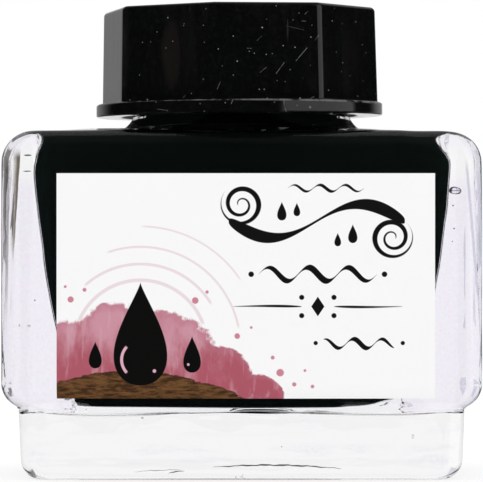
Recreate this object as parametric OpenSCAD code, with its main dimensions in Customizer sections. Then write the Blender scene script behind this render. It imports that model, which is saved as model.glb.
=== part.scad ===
// Small rectangular glass ink bottle on a stepped plinth, with an
// eight-sided screw cap, a sealing wad, a paper label and its fill of ink.
// Millimetres. Origin at the middle of the underside, +Z up, label on -Y.

/* [Glass body] */
// Width of the glass body across the front
body_w = 45; // [43:0.5:50]
// Depth of the glass body from front to back
body_d = 28; // [27:0.5:34]
// Radius of the four upright corners
body_corner_r = 1.9; // [1.6:0.1:3.5]
// Height at which the body's rounded underside bottoms out inside the plinth
body_foot_z = 6.5; // [5:0.05:7.5]
// Height and sideways reach of the rounded edge under the body, above the plinth
body_foot_r = 2.65; // [2:0.05:3.5]
// Reach of that rounded edge towards the front and the back
body_foot_r_front = 3.6; // [2:0.1:4]
// Height of the flat shoulder
shoulder_z = 33.1; // [32.4:0.1:33.3]
// Height and sideways reach of the shoulder's rounded edge
shoulder_r = 3; // [2:0.25:4]
// Reach of that rounded edge towards the front and the back
shoulder_r_front = 2.2; // [1.5:0.1:2.4]

/* [Plinth] */
// Width of the solid glass plinth at its foot
plinth_w = 41.6; // [38:0.1:42]
// Depth of the solid glass plinth at its foot
plinth_d = 23.1; // [22:0.1:25]
// Radius of the plinth's upright corners
plinth_corner_r = 1.9; // [1:0.1:3]
// Radius of the rounded edge around the foot
plinth_foot_r = 1.9; // [1:0.1:2.2]
// Outward lean of the plinth's walls, per side, from foot to waist
plinth_lean = 0.2; // [0.05:0.05:0.3]
// Depth of the shallow hollow under the base
push_up = 1; // [0.2:0.05:1]
// Width of the flat bearing rim around that hollow
bearing_rim = 3; // [2:0.25:4]

/* [Cavity] */
// Height of the inside floor above the base
floor_z = 8.45; // [7.5:0.05:9.5]
// Half width of the cavity at the top of its walls
cavity_half_w = 19.7; // [17:0.1:20.2]
// Half depth of the cavity at the top of its walls
cavity_half_d = 9.1; // [8.6:0.05:11.4]
// Draft of the end walls, sideways millimetres per millimetre of height
draft_w = 0.146; // [0.05:0.002:0.2]
// Draft of the front and back walls
draft_d = 0; // [0:0.01:0.15]
// Radius of the cavity's upright corners
cavity_corner_r = 1.4; // [1.2:0.1:3]
// Height of the rounded edge where the cavity's walls meet its floor
floor_r = 0.7; // [0.4:0.1:1.5]
// Reach of that edge towards the two ends
floor_r_side = 1.6; // [0.6:0.1:2]
// Reach of that edge towards the front and the back
floor_r_front = 0.2; // [0.1:0.05:0.6]
// Height of the cavity's ceiling under the shoulder
ceiling_z = 31.4; // [30:0.1:31.5]
// Radius where the cavity's walls meet its ceiling
ceiling_r = 1.1; // [0.8:0.1:2]

/* [Neck finish] */
// Outside radius of the neck between the threads
neck_r = 9.85; // [9.6:0.05:9.95]
// Radius of the bore through the neck
bore_r = 7.5; // [6.5:0.1:8]
// Height of the sealing rim
rim_z = 42.5; // [42.2:0.1:42.6]
// Radius of the plain collar at the foot of the neck, under the cap's flange
collar_r = 10.35; // [10:0.05:10.5]
// Radius of the fillet at the foot of that collar
neck_fillet = 1.1; // [0.8:0.1:1.2]
// Rise of the thread in one turn
pitch = 3.175; // [2.8:0.005:3.2]
// Height of the glass thread above the neck
thread_h = 1; // [0.8:0.05:1]
// Turns of thread on the neck and in the cap
thread_turns = 1.15; // [1:0.05:1.2]

/* [Screw cap] */
// Radius across the corners of the eight-sided grip, at its foot
cap_r = 13.5; // [13.2:0.05:13.7]
// Taper of that radius from foot to top
cap_taper = 0.2; // [0:0.05:0.3]
// Radius of the grip's eight upright edges
cap_edge_r = 0.85; // [0.6:0.05:1.2]
// Radius of the edge around the top of the cap
cap_top_r = 0.5; // [0.3:0.05:0.55]
// Height of the top of the cap
cap_top_z = 44.85; // [44.6:0.05:46]
// Radius of the round flange at the foot of the cap
flange_r = 13.85; // [13.75:0.05:15]
// Height of the underside of the flange
flange_z = 34.45; // [34.2:0.05:34.6]
// Thickness of the flange
flange_t = 1.25; // [1:0.05:1.6]
// Turn of the grip, as the cap stops when it is tight
cap_angle = 35; // [0:1:45]
// Inside radius of the cap's skirt
cap_bore_r = 11.2; // [11.2:0.05:11.4]

/* [Sealing wad] */
// Thickness of the sealing wad
wad_t = 1; // [0.8:0.05:1]
// Radius of the sealing wad
wad_r = 11; // [10.7:0.05:11]

/* [Label] */
// Width of the paper label
label_w = 35.2; // [28:0.1:36]
// Height of the top edge of the paper label
label_top_z = 28.75; // [20:0.05:29]
// Thickness of the paper
label_t = 0.1; // [0.08:0.01:0.2]
// Sideways offset of the label from the middle of the front
label_x = 0.4; // [-0.5:0.05:0.5]
// Degrees by which the label's lower edge follows the rounded foot of the body
label_wrap = 30; // [0:6:36]

/* [Ink] */
// Height of the ink's surface, in the neck
ink_z = 35.1; // [25:0.1:38]

/* [Hidden] */
$fn = 96;
eps = 0.02;                        // gap left between faces that only touch
thread_top = rim_z - 1.9;          // centre of the glass thread at its upper end
thread_low = thread_top - pitch * thread_turns;  // and at its lower end
cap_thread_drop = 1.3;             // how far the cap's thread runs under the glass one
cap_thread_r = neck_r + 0.35;      // inner radius of the cap's thread
collar_top = max(thread_low - cap_thread_drop - 0.95,   // collar ends just under the cap's thread
                 shoulder_z + neck_fillet + 0.3);
cap_ceiling = rim_z + eps + wad_t + eps;  // inside top of the cap
steps = 48;                        // straight pieces in one turn of thread

// ---------- shared shapes ----------

// points of an arc about (cx, cz), from angle a0 to a1
function arc(cx, cz, r, a0, a1, n = 6) =
    [for (i = [0 : n]) let (a = a0 + (a1 - a0) * i / n) [cx + r * cos(a), cz + r * sin(a)]];

// one level of a rectangular block with round corners, as a ring of points
corner_steps = 8;
function ring_at(hw, hd, r, z) =
    [for (q = [0 : 3], k = [0 : corner_steps])
        let (a = 90 * (q + k / corner_steps),
             sx = (q == 0 || q == 3) ? 1 : -1, sy = q < 2 ? 1 : -1)
        [sx * (hw - r) + r * cos(a), sy * (hd - r) + r * sin(a), z]];

// one level of an eight-sided block with round corners, as a ring of points
function octagon_at(r_centre, r_edge, z) =
    [for (k = [0 : 7], j = [0 : 4])
        let (b = 45 * k - 22.5 + 45 * j / 4)
        [r_centre * cos(45 * k) + r_edge * cos(b), r_centre * sin(45 * k) + r_edge * sin(b), z]];

// solid through a stack of such rings, lowest first
module loft(rings) {
    m = len(rings[0]);
    n = len(rings);
    polyhedron([for (g = rings) each g],
        concat([[for (j = [0 : m - 1]) j]],
               [[for (j = [m - 1 : -1 : 0]) (n - 1) * m + j]],
               [for (i = [0 : n - 2], j = [0 : m - 1])
                   let (a = i * m + j, b = i * m + (j + 1) % m) [a, a + m, b + m, b]]),
        convexity = 4);
}

// helical ridge on a right-hand screw: each ring is a trapezium from r_root
// to r_crest, run down to a low blunt end over the first and last eighth of a turn
module helix_ridge(r_root, r_crest, half_root, half_crest, z_low, turns) {
    n = ceil(turns * steps);
    fade = steps / 8;
    function run_out(i) = min(1, 0.36 + 0.64 * min(i, n - i) / fade);
    function ring(i) =
        let (a = 360 * turns * i / n, z = z_low + pitch * turns * i / n,
             k = run_out(i), rc = r_root + (r_crest - r_root) * k,
             hr = half_root * (0.5 + 0.5 * k), hc = half_crest * k + half_root * 0.3 * (1 - k))
        [[r_root * cos(a), r_root * sin(a), z - hr],
         [rc * cos(a), rc * sin(a), z - hc],
         [rc * cos(a), rc * sin(a), z + hc],
         [r_root * cos(a), r_root * sin(a), z + hr]];
    inward = r_crest < r_root;
    points = [for (i = [0 : n]) each ring(i)];
    sides = [for (i = [0 : n - 1], j = [0 : 3])
        let (a = 4 * i + j, b = 4 * i + (j + 1) % 4)
        inward ? [a, a + 4, b + 4, b] : [a, b, b + 4, a + 4]];
    ends = inward ? [[0, 1, 2, 3], [4 * n + 3, 4 * n + 2, 4 * n + 1, 4 * n]]
                  : [[3, 2, 1, 0], [4 * n, 4 * n + 1, 4 * n + 2, 4 * n + 3]];
    polyhedron(points, concat(sides, ends), convexity = 6);
}

// ---------- glass ----------

// body above the waist: upright walls, round underneath and at the shoulder
module glass_body() {
    loft(concat(
        [for (a = [0 : 6 : 90]) let (k = 1 - sin(a))
            ring_at(body_w / 2 - body_foot_r * k, body_d / 2 - body_foot_r_front * k,
                    body_corner_r - 0.3 * k, body_foot_z + body_foot_r * (1 - cos(a)))],
        [for (a = [90 : -15 : 0]) let (k = 1 - sin(a))
            ring_at(body_w / 2 - shoulder_r * k, body_d / 2 - shoulder_r_front * k,
                    body_corner_r - 0.3 * k, shoulder_z - shoulder_r * (1 - cos(a)))]));
}

// solid plinth under the waist
module glass_plinth() {
    loft(concat(
        [for (a = [0 : 15 : 90]) let (l = plinth_foot_r * (1 - sin(a)))
            ring_at(plinth_w / 2 - l, plinth_d / 2 - l, max(0.8, plinth_corner_r - 0.3 * l),
                    plinth_foot_r * (1 - cos(a)))],
        [ring_at(plinth_w / 2 + plinth_lean, plinth_d / 2 + plinth_lean, plinth_corner_r,
                 body_foot_z + 2)]));
}

// neck with a filleted collar at its foot and a rounded sealing rim
module glass_neck() {
    rotate_extrude()
        polygon(concat([[0, shoulder_z - 1.2], [collar_r + neck_fillet, shoulder_z - 1.2]],
                       arc(collar_r + neck_fillet, shoulder_z + neck_fillet - 0.04, neck_fillet, 270, 180, 6),
                       [[collar_r, collar_top - 0.3], [neck_r, collar_top]],
                       arc(neck_r - 0.5, rim_z - 0.5, 0.5, 0, 90, 3),
                       [[0, rim_z]]));
}

// inside of the bottle below the neck: drafted walls, round at floor and
// ceiling, drawn in by "inset" all over
module cavity(inset = 0) {
    function level(z, lw, ld) = let (fall = max(0, ceiling_z - ceiling_r - z))
        ring_at(cavity_half_w - draft_w * fall - lw - inset, cavity_half_d - draft_d * fall - ld - inset,
                cavity_corner_r - 0.3 * lw, z);
    loft(concat(
        [for (a = [0 : 15 : 90]) let (k = 1 - sin(a))
            level(floor_z + inset + floor_r * (1 - cos(a)), floor_r_side * k, floor_r_front * k)],
        [for (a = [90 : -15 : 0]) let (k = 1 - sin(a))
            level(ceiling_z - inset - ceiling_r * (1 - cos(a)), ceiling_r * k, ceiling_r * k)]));
}

// bore of the neck, opened out where it meets the cavity's ceiling
module neck_bore(inset = 0, top = rim_z + 1) {
    translate([0, 0, ceiling_z - 2]) cylinder(r = bore_r - inset, h = top - ceiling_z + 2);
    translate([0, 0, ceiling_z - 1 - inset])
        cylinder(r1 = bore_r + 1.1 - inset, r2 = bore_r - 0.3 - inset, h = 2.3);
}

module glass_bottle() color([0.86, 0.92, 0.92, 0.35])
    difference() {
        union() {
            glass_body();
            glass_plinth();
            glass_neck();
            helix_ridge(neck_r - 0.4, neck_r + thread_h, 1.15, 0.4, thread_low, thread_turns);
        }
        cavity();
        neck_bore();
        // shallow hollow under the base, which leaves a flat bearing rim
        hollow_w = plinth_w / 2 - plinth_foot_r - bearing_rim;
        hollow_d = plinth_d / 2 - plinth_foot_r - bearing_rim;
        loft([ring_at(hollow_w + 0.8, hollow_d + 0.8, 3.8, -1),
              ring_at(hollow_w - 0.8 * push_up, hollow_d - 0.8 * push_up, 3 - 0.8 * push_up, push_up)]);
    }

// ---------- contents and label ----------

module ink() color([0.03, 0.05, 0.05])
    intersection() {
        union() {
            cavity(eps);
            neck_bore(eps, rim_z);
        }
        translate([0, 0, ink_z - 50]) cube([100, 100, 100], center = true);
    }

// point on the oval of the body's foot at the front, moved out from the glass by "out"
function on_foot(a, out) =
    let (ny = cos(a) / body_foot_r_front, nz = sin(a) / body_foot_r, l = norm([ny, nz]))
    [-body_d / 2 + body_foot_r_front + body_foot_r_front * cos(a) + out * ny / l,
     body_foot_z + body_foot_r + body_foot_r * sin(a) + out * nz / l];

// flat sheet on the front, its lower edge pressed round the foot of the body
module front_label() color([0.96, 0.96, 0.96]) {
    n = label_wrap / 6;
    bend = [for (i = [0 : n]) 180 + 6 * i];
    translate([label_x - label_w / 2, 0, 0])
        rotate([90, 0, 90]) linear_extrude(height = label_w)
            polygon(concat(
                [[-body_d / 2, label_top_z]],
                [for (a = bend) on_foot(a, 0)],
                [for (i = [n : -1 : 0]) on_foot(bend[i], label_t)],
                [[-body_d / 2 - label_t, label_top_z]]));
}

// ---------- closure ----------

module cap_liner() color([0.93, 0.92, 0.88])
    translate([0, 0, rim_z + eps]) cylinder(r = wad_r, h = wad_t);

module screw_cap() color([0.03, 0.03, 0.03])
    union() {
        difference() {
            union() {
                // eight-sided grip with softened upright edges and top edge
                rotate([0, 0, cap_angle])
                    loft(concat(
                        [octagon_at(cap_r - cap_edge_r, cap_edge_r, flange_z + 0.4)],
                        [for (a = [90 : -18 : 0])
                            octagon_at(cap_r - cap_taper - cap_edge_r, cap_edge_r - cap_top_r * (1 - sin(a)),
                                       cap_top_z - cap_top_r * (1 - cos(a)))]));
                // round flange
                rotate_extrude()
                    polygon(concat([[0, flange_z], [flange_r - 0.15, flange_z], [flange_r, flange_z + 0.15]],
                                   arc(flange_r - 0.3, flange_z + flange_t - 0.3, 0.3, 0, 90, 3),
                                   [[0, flange_z + flange_t]]));
            }
            // skirt bore, and a lead-in at its mouth
            translate([0, 0, flange_z - 1]) cylinder(r = cap_bore_r, h = cap_ceiling - flange_z + 1);
            translate([0, 0, flange_z - 0.1]) cylinder(r1 = cap_bore_r + 0.5, r2 = cap_bore_r - 0.1, h = 0.6);
        }
        // bead that keeps the sealing wad in the cap
        rotate_extrude()
            polygon([[cap_bore_r + 0.3, rim_z - 0.95], [wad_r - 0.25, rim_z - 0.45],
                     [wad_r - 0.25, rim_z - 0.35], [cap_bore_r + 0.3, rim_z + 0.05]]);
        helix_ridge(cap_bore_r + 0.3, cap_thread_r, 0.85, 0.35,
                    thread_low - cap_thread_drop, thread_turns);
    }

glass_bottle();
ink();
front_label();
cap_liner();
screw_cap();
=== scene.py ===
import math

import bmesh
import bpy
import numpy as np
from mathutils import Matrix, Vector


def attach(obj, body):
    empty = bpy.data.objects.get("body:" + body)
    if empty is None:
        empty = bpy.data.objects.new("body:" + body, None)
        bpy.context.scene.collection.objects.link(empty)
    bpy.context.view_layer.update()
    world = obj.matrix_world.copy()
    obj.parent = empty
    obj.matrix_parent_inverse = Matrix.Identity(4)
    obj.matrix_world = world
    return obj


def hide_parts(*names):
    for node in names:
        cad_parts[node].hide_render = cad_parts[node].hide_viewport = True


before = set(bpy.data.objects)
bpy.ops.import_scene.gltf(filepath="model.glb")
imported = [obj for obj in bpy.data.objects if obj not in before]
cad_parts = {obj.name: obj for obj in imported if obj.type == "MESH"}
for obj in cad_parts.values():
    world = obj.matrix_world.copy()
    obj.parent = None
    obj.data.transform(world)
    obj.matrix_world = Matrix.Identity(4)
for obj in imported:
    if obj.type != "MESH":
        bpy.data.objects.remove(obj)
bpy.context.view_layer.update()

MM = 0.001
sc = bpy.context.scene


# --------------------------------------------------------------------------
# small helpers
# --------------------------------------------------------------------------

def smooth(x, a, b):
    t = np.clip((np.asarray(x, float) - a) / (b - a), 0.0, 1.0)
    return t * t * (3 - 2 * t)


def waves(p, scale, seed, octaves=3):
    """Smooth repeatable unevenness in about -1..1 at points p (mm)."""
    rs = np.random.RandomState(seed)
    out = np.zeros(len(p))
    amp, total = 1.0, 0.0
    for o in range(octaves):
        for _ in range(5):
            d = rs.normal(size=3)
            d /= np.linalg.norm(d)
            out += amp * np.sin(p @ d * (2 * math.pi / scale) * rs.uniform(0.7, 1.3) + rs.uniform(0, 6.283))
            total += amp
        amp *= 0.5
        scale *= 0.5
    return out / total * 2.0


def mesh_object(name, verts_mm, faces, fix_normals=True):
    me = bpy.data.meshes.new(name)
    me.from_pydata((np.asarray(verts_mm) * MM).tolist(), [], faces)
    me.validate()
    if fix_normals:
        bm = bmesh.new()
        bm.from_mesh(me)
        bmesh.ops.recalc_face_normals(bm, faces=bm.faces)
        bm.to_mesh(me)
        bm.free()
    me.polygons.foreach_set("use_smooth", [True] * len(me.polygons))
    me.update()
    ob = bpy.data.objects.new(name, me)
    sc.collection.objects.link(ob)
    return ob


def loft(rings, start=None, end=None):
    """Vertices and faces of a tube through rings of equal size; start and end are closing points."""
    n = len(rings[0])
    verts = np.concatenate(rings)
    faces = []
    for i in range(len(rings) - 1):
        a = i * n
        b = a + n
        for j in range(n):
            k = (j + 1) % n
            faces.append((a + j, a + k, b + k, b + j))
    if start is not None:
        verts = np.concatenate([verts, [start]])
        c = len(verts) - 1
        faces += [(c, (j + 1) % n, j) for j in range(n)]
    if end is not None:
        verts = np.concatenate([verts, [end]])
        c = len(verts) - 1
        b = (len(rings) - 1) * n
        faces += [(c, b + j, b + (j + 1) % n) for j in range(n)]
    return verts, faces


def normals_of(ob):
    me = ob.data
    n = np.empty(len(me.vertices) * 3)
    me.vertices.foreach_get("normal", n)
    return n.reshape(-1, 3)


def coords_of(ob):
    c = np.empty(len(ob.data.vertices) * 3)
    ob.data.vertices.foreach_get("co", c)
    return c.reshape(-1, 3) / MM


def set_coords(ob, c):
    ob.data.vertices.foreach_set("co", (np.asarray(c) * MM).astype(np.float32).ravel())
    ob.data.update()


# --------------------------------------------------------------------------
# shader helpers: arithmetic on node sockets
# --------------------------------------------------------------------------

class X:
    """A float socket with arithmetic."""
    tree = None

    def __init__(self, s):
        self.s = s

    def __add__(self, o): return op("ADD", self, o)
    def __radd__(self, o): return op("ADD", o, self)
    def __sub__(self, o): return op("SUBTRACT", self, o)
    def __rsub__(self, o): return op("SUBTRACT", o, self)
    def __mul__(self, o): return op("MULTIPLY", self, o)
    def __rmul__(self, o): return op("MULTIPLY", o, self)
    def __truediv__(self, o): return op("DIVIDE", self, o)
    def __neg__(self): return op("MULTIPLY", self, -1.0)


def op(kind, a, b=None, c=None, clamp=False):
    n = X.tree.nodes.new("ShaderNodeMath")
    n.operation = kind
    n.use_clamp = clamp
    for i, v in enumerate((a, b, c)):
        if v is None:
            continue
        if isinstance(v, X):
            X.tree.links.new(v.s, n.inputs[i])
        else:
            n.inputs[i].default_value = float(v)
    return X(n.outputs[0])


def fmin(a, b): return op("MINIMUM", a, b)
def fmax(a, b): return op("MAXIMUM", a, b)
def fabs(a): return op("ABSOLUTE", a)
def fsin(a): return op("SINE", a)
def fsqrt(a): return op("SQRT", a)
def hyp(a, b): return fsqrt(a * a + b * b)


def step(x, lo, hi):
    """Smooth 0..1 as x goes from lo to hi."""
    n = X.tree.nodes.new("ShaderNodeMapRange")
    n.interpolation_type = "SMOOTHSTEP"
    X.tree.links.new(x.s, n.inputs["Value"])
    n.inputs["From Min"].default_value = lo
    n.inputs["From Max"].default_value = hi
    return X(n.outputs[0])


def mix_col(f, a, b):
    n = X.tree.nodes.new("ShaderNodeMix")
    n.data_type = "RGBA"
    fac, ia, ib = n.inputs["Factor"], n.inputs[6], n.inputs[7]
    if isinstance(f, X):
        X.tree.links.new(f.s, fac)
    else:
        fac.default_value = f
    for s, v in ((ia, a), (ib, b)):
        if isinstance(v, tuple):
            s.default_value = (*v, 1.0)
        else:
            X.tree.links.new(v, s)
    return n.outputs[2]


def tex_noise(vec, scale, detail=3.0, rough=0.5, dist=0.0, out="Fac"):
    n = X.tree.nodes.new("ShaderNodeTexNoise")
    n.inputs["Scale"].default_value = scale
    n.inputs["Detail"].default_value = detail
    n.inputs["Roughness"].default_value = rough
    n.inputs["Distortion"].default_value = dist
    if vec is not None:
        X.tree.links.new(vec, n.inputs["Vector"])
    o = n.outputs[out]
    return X(o) if out == "Fac" else o


def tex_voronoi(vec, scale, feature="F1", rnd=1.0):
    n = X.tree.nodes.new("ShaderNodeTexVoronoi")
    n.feature = feature
    n.inputs["Scale"].default_value = scale
    n.inputs["Randomness"].default_value = rnd
    X.tree.links.new(vec, n.inputs["Vector"])
    return n


def mapping(vec, loc=(0, 0, 0), rot=(0, 0, 0), scale=(1, 1, 1)):
    n = X.tree.nodes.new("ShaderNodeMapping")
    n.inputs["Location"].default_value = loc
    n.inputs["Rotation"].default_value = rot
    n.inputs["Scale"].default_value = scale
    X.tree.links.new(vec, n.inputs["Vector"])
    return n.outputs[0]


def object_coords():
    n = X.tree.nodes.new("ShaderNodeTexCoord")
    return n.outputs["Object"]


def split(vec):
    n = X.tree.nodes.new("ShaderNodeSeparateXYZ")
    X.tree.links.new(vec, n.inputs[0])
    return X(n.outputs[0]), X(n.outputs[1]), X(n.outputs[2])


def bump(height, strength, distance, normal=None):
    n = X.tree.nodes.new("ShaderNodeBump")
    n.inputs["Strength"].default_value = strength
    n.inputs["Distance"].default_value = distance
    X.tree.links.new(height.s if isinstance(height, X) else height, n.inputs["Height"])
    if normal is not None:
        X.tree.links.new(normal, n.inputs["Normal"])
    return n.outputs[0]


def new_material(name):
    m = bpy.data.materials.new(name)
    m.use_nodes = True
    t = m.node_tree
    t.nodes.clear()
    out = t.nodes.new("ShaderNodeOutputMaterial")
    b = t.nodes.new("ShaderNodeBsdfPrincipled")
    t.links.new(b.outputs[0], out.inputs["Surface"])
    X.tree = t
    return m, b, out


def link(a, b):
    X.tree.links.new(a.s if isinstance(a, X) else a, b)


# --------------------------------------------------------------------------
# dimensions, in mm (the same ones the solids have)
# --------------------------------------------------------------------------

HW, HD, RC = 22.5, 14.0, 1.9
FOOT_Z, FOOT_R, FOOT_RD = 6.5, 2.65, 3.6
SH_Z, SH_R, SH_RF = 33.1, 3.0, 2.2
PL_IN, PL_IND, PL_FOOT, PL_LEAN, PL_RC = 1.7, 2.45, 1.9, 0.2, 1.9
NECK_R, BORE_R, RIM_Z, COLLAR_R, COLLAR_Z = 9.85, 7.5, 42.5, 10.5, 34.7
PITCH, TURNS = 3.175, 1.15
THREAD_LOW = RIM_Z - 1.9 - PITCH * TURNS
FLOOR_Z, CEIL_Z, CEIL_R, FLOOR_R, CAV_D, CAV_RC = 8.45, 31.4, 1.1, 0.08, 9.1, 1.4
INK_Z = 35.1
CAP_R, CAP_TAPER, CAP_EDGE, CAP_TOPR = 13.5, 0.2, 0.85, 0.5
CAP_TOP, FL_R, FL_Z, FL_T, CAP_BORE = 44.85, 13.85, 34.45, 1.25, 11.2
LABEL_W, LABEL_X, LABEL_TOP, LABEL_T, LABEL_WRAP = 35.2, 0.4, 28.75, 0.1, 30.0


# --------------------------------------------------------------------------
# glass bottle
# --------------------------------------------------------------------------

class RectLoop:
    """Points round a rounded rectangle, with more of them in the corners."""

    def __init__(self, ns=26, nc=15, nl=52):
        k, t = [], []
        for q, n in ((0, ns), (1, nl), (2, ns), (3, nl)):
            for i in range(n):
                k.append(q)
                t.append(-1 + 2 * (i + 0.5) / n)
            for i in range(nc):
                k.append(q + 4)
                t.append(i / (nc - 1))
        self.k, self.t = np.array(k), np.array(t)
        self.n = len(k)
        ref = self.ring(HW, HW, HD, RC, 0.0)
        self.ang = np.arctan2(ref[:, 1], ref[:, 0])

    def ring(self, hwl, hwr, hd, rc, z, uneven=0.0):
        """Left and right half width, half depth, corner radius; uneven makes the left corners rounder than the right ones."""
        k, t = self.k, self.t
        rl, rr = rc + uneven, rc - uneven
        a = np.radians(90) * t
        x, y = np.zeros(self.n), np.zeros(self.n)
        x0, x1 = -(hwl - rl), hwr - rr
        mid, half = (x0 + x1) / 2, (x1 - x0) / 2
        m = k == 0; x[m], y[m] = hwr, t[m] * (hd - rr)
        m = k == 1; x[m], y[m] = mid - t[m] * half, hd
        m = k == 2; x[m], y[m] = -hwl, -t[m] * (hd - rl)
        m = k == 3; x[m], y[m] = mid + t[m] * half, -hd
        for q, sx, sy in ((0, 1, 1), (1, -1, 1), (2, -1, -1), (3, 1, -1)):
            m = k == q + 4
            aa = a[m] + np.radians(90) * q
            r = rr if sx > 0 else rl
            x[m] = (x1 if sx > 0 else x0) + r * np.cos(aa)
            y[m] = sy * (hd - r) + r * np.sin(aa)
        return np.column_stack([x, y, np.full(self.n, float(z))])

    def oval(self, rx, ry, z):
        return np.column_stack([rx * np.cos(self.ang), ry * np.sin(self.ang), np.full(self.n, float(z))])


LOOP = RectLoop()


def thread_height(ang, z, low, half_root, half_crest):
    """0..1 height of a one-start helical ridge at angle ang (radians) and height z."""
    out = np.zeros_like(ang)
    deg = np.degrees(ang) % 360.0
    for turn in (0, 1):
        a = deg + 360.0 * turn
        zc = low + PITCH * a / 360.0
        run = smooth(np.minimum(a, 360 * TURNS - a), -6, 42)
        on = (a <= 360 * TURNS + 6)
        h = smooth(half_root - np.abs(z - zc), 0.0, half_root - half_crest)
        out = np.maximum(out, np.where(on, h * run, 0.0))
    return out


def cavity_half_widths(z):
    """Left and right half width of the cavity at height z, below its ceiling."""
    zl = [8.45, 8.6, 8.7, 8.8, 9.1, 9.8, 10.6, 12.0, 14.5, 16.8, 19.3, 22.9, 26.5, 28.6, 30.0, 31.4]
    wl = [14.6, 14.9, 15.3, 15.7, 15.95, 16.25, 16.6, 17.1, 17.6, 18.05, 18.5, 18.95, 19.35, 19.66, 19.62, 19.0]
    zr = [8.45, 8.59, 8.64, 8.72, 8.8, 9.0, 9.3, 9.9, 10.8, 12.0, 14.5, 16.8, 19.7, 22.0, 25.0, 28.6, 30.0, 31.4]
    wr = [10.3, 10.9, 11.75, 13.1, 14.3, 15.0, 15.4, 16.0, 16.5, 17.0, 17.6, 18.05, 18.6, 18.95, 19.3, 19.62, 19.7, 19.6]
    zz = np.linspace(-1.2, 1.2, 13) if z > 11 else np.linspace(-0.05, 0.05, 5) * min(1.0, (z - FLOOR_Z) / 0.1)
    w = np.cos(np.linspace(-1.4, 1.4, len(zz)))
    return (float(np.average(np.interp(z + zz, zl, wl), weights=w)),
            float(np.average(np.interp(z + zz, zr, wr), weights=w)))


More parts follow.
